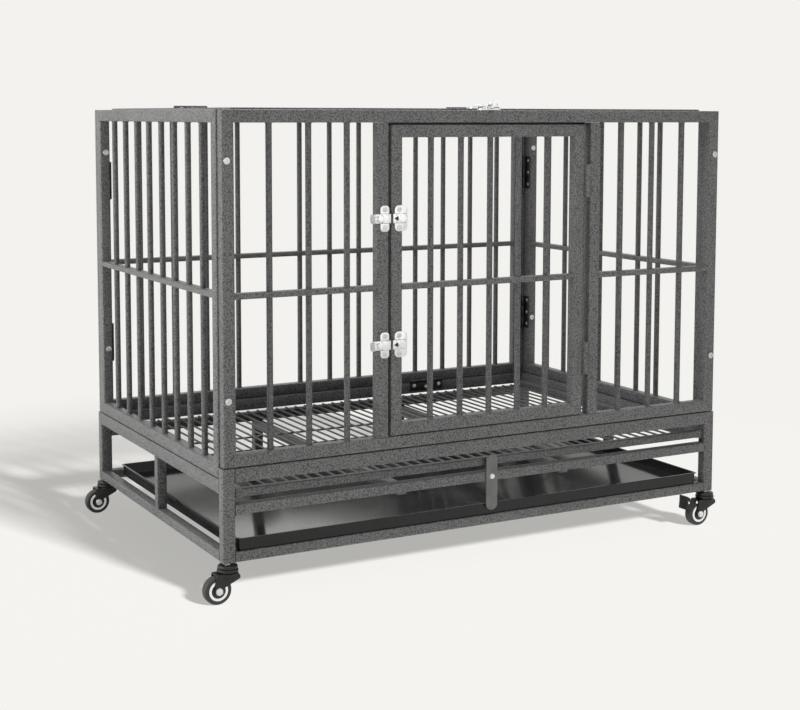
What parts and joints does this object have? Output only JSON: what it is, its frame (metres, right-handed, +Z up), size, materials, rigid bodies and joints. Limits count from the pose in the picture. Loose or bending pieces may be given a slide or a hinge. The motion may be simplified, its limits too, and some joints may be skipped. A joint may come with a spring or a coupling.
{
  "type": "dog cage",
  "caption": "Large barred dog cage of square steel tube on swivel casters, with a front door, a hinged lid, slide bolt latches, a floor grate and a pull-out tray.",
  "frame": {"origin": "on the floor, under the centre of the whole cage's box", "axes": "+X along the long side towards the door's hinges, +Y from the front door to the back, +Z up"},
  "size_m": [1.1054, 0.7141, 0.857],
  "materials": {
    "hammertone": "satin hammered silver vein paint",
    "black_steel": "semi-gloss black",
    "zinc": "bright zinc plating",
    "plate_grey": "satin grey",
    "tray_black": "gloss black",
    "wheel_rubber": "matt dark grey tread"
  },
  "bodies": {
    "cage_body": {"base_left_frame": "hammertone", "base_right_frame": "hammertone", "base_front_top_rail": "hammertone", "base_back_top_rail": "hammertone", "base_floor_frame": "hammertone", "base_grate_frame": "hammertone", "front_panel": "hammertone", "back_panel": "hammertone", "left_panel": "hammertone", "right_panel": "hammertone", "door_hinge_upper_post_half": "hammertone", "door_hinge_lower_post_half": "hammertone", "lid_hinge_left_fixed_leaf": "black_steel", "lid_hinge_right_fixed_leaf": "black_steel", "corner_hinge_left_upper_side_leaf": "black_steel", "corner_hinge_left_upper_rear_leaf": "black_steel", "corner_hinge_left_lower_side_leaf": "black_steel", "corner_hinge_left_lower_rear_leaf": "black_steel", "corner_hinge_right_upper_side_leaf": "black_steel", "corner_hinge_right_upper_rear_leaf": "black_steel", "corner_hinge_right_lower_side_leaf": "black_steel", "corner_hinge_right_lower_rear_leaf": "black_steel", "door_latch_upper_guide": "zinc", "door_latch_lower_guide": "zinc", "lid_latch_guide": "zinc", "turn_plate_bolt": "zinc", "caster_front_left_stem": "zinc", "caster_front_right_stem": "zinc", "caster_back_left_stem": "zinc", "caster_back_right_stem": "zinc"},
    "door_body": {"front_door": "hammertone", "door_hinge_upper_door_half": "hammertone", "door_hinge_lower_door_half": "hammertone", "door_latch_upper_keeper": "zinc", "door_latch_lower_keeper": "zinc"},
    "lid_body": {"lid": "hammertone", "lid_hinge_left_moving_leaf": "black_steel", "lid_hinge_right_moving_leaf": "black_steel", "lid_latch_keeper": "zinc"},
    "upper_bolt_body": {"door_latch_upper_bolt": "zinc"},
    "lower_bolt_body": {"door_latch_lower_bolt": "zinc"},
    "lid_bolt_body": {"lid_latch_bolt": "zinc"},
    "turn_plate_body": {"turn_plate": "plate_grey"},
    "tray_body": {"tray": "tray_black"},
    "grate_body": {"floor_grate": "hammertone"},
    "front_left_fork_body": {"caster_front_left_fork": "black_steel", "caster_front_left_axle": "zinc"},
    "front_right_fork_body": {"caster_front_right_fork": "black_steel", "caster_front_right_axle": "zinc"},
    "back_left_fork_body": {"caster_back_left_fork": "black_steel", "caster_back_left_axle": "zinc"},
    "back_right_fork_body": {"caster_back_right_fork": "black_steel", "caster_back_right_axle": "zinc"},
    "front_left_wheel_body": {"caster_front_left_wheel": "wheel_rubber"},
    "front_right_wheel_body": {"caster_front_right_wheel": "wheel_rubber"},
    "back_left_wheel_body": {"caster_back_left_wheel": "wheel_rubber"},
    "back_right_wheel_body": {"caster_back_right_wheel": "wheel_rubber"},
    "front_brake_body": {"caster_front_right_brake_pedal": "black_steel"},
    "back_brake_body": {"caster_back_right_brake_pedal": "black_steel"}
  },
  "joints": [
    {"name": "door_swing", "type": "hinge", "parent": "cage_body", "child": "door_body", "pos_m": [0.22635, -0.33925, 0.5], "axis": [0, 0, 1], "range_deg": [0, 170]},
    {"name": "lid_lift", "type": "hinge", "parent": "cage_body", "child": "lid_body", "pos_m": [0.014, 0.32725, 0.8448], "axis": [-1, 0, 0], "range_deg": [0, 175]},
    {"name": "upper_bolt_slide", "type": "slide", "parent": "cage_body", "child": "upper_bolt_body", "axis": [1, 0, 0], "range_m": [0, 0.013]},
    {"name": "lower_bolt_slide", "type": "slide", "parent": "cage_body", "child": "lower_bolt_body", "axis": [1, 0, 0], "range_m": [0, 0.013]},
    {"name": "lid_bolt_slide", "type": "slide", "parent": "cage_body", "child": "lid_bolt_body", "axis": [0, 1, 0], "range_m": [0, 0.013]},
    {"name": "turn_plate_turn", "type": "hinge", "parent": "cage_body", "child": "turn_plate_body", "pos_m": [0.015, -0.33925, 0.161], "axis": [0, 1, 0], "range_deg": [0, 90]},
    {"name": "tray_slide", "type": "slide", "parent": "cage_body", "child": "tray_body", "axis": [0, 1, 0], "range_m": [0, 0.04]},
    {"name": "grate_slide", "type": "slide", "parent": "cage_body", "child": "grate_body", "axis": [0, -1, 0], "range_m": [0, 0.005]},
    {"name": "front_left_swivel", "type": "hinge", "parent": "cage_body", "child": "front_left_fork_body", "pos_m": [-0.50825, -0.32925, 0.0505], "axis": [0, 0, 1], "continuous": true},
    {"name": "front_right_swivel", "type": "hinge", "parent": "cage_body", "child": "front_right_fork_body", "pos_m": [0.53625, -0.32925, 0.0505], "axis": [0, 0, 1], "continuous": true},
    {"name": "back_left_swivel", "type": "hinge", "parent": "cage_body", "child": "back_left_fork_body", "pos_m": [-0.50825, 0.34075, 0.0505], "axis": [0, 0, 1], "continuous": true},
    {"name": "back_right_swivel", "type": "hinge", "parent": "cage_body", "child": "back_right_fork_body", "pos_m": [0.53625, 0.34075, 0.0505], "axis": [0, 0, 1], "continuous": true},
    {"name": "front_left_roll", "type": "hinge", "parent": "front_left_fork_body", "child": "front_left_wheel_body", "pos_m": [-0.52825, -0.32925, 0.0245], "axis": [0, 1, 0], "continuous": true},
    {"name": "front_right_roll", "type": "hinge", "parent": "front_right_fork_body", "child": "front_right_wheel_body", "pos_m": [0.51625, -0.32925, 0.0245], "axis": [0, 1, 0], "continuous": true},
    {"name": "back_left_roll", "type": "hinge", "parent": "back_left_fork_body", "child": "back_left_wheel_body", "pos_m": [-0.52825, 0.34075, 0.0245], "axis": [0, 1, 0], "continuous": true},
    {"name": "back_right_roll", "type": "hinge", "parent": "back_right_fork_body", "child": "back_right_wheel_body", "pos_m": [0.51625, 0.34075, 0.0245], "axis": [0, 1, 0], "continuous": true},
    {"name": "front_brake_press", "type": "hinge", "parent": "front_right_fork_body", "child": "front_brake_body", "pos_m": [0.50275, -0.32925, 0.05], "axis": [0, -1, 0], "range_deg": [0, 6]},
    {"name": "back_brake_press", "type": "hinge", "parent": "back_right_fork_body", "child": "back_brake_body", "pos_m": [0.50275, 0.34075, 0.05], "axis": [0, -1, 0], "range_deg": [0, 6]}
  ]
}
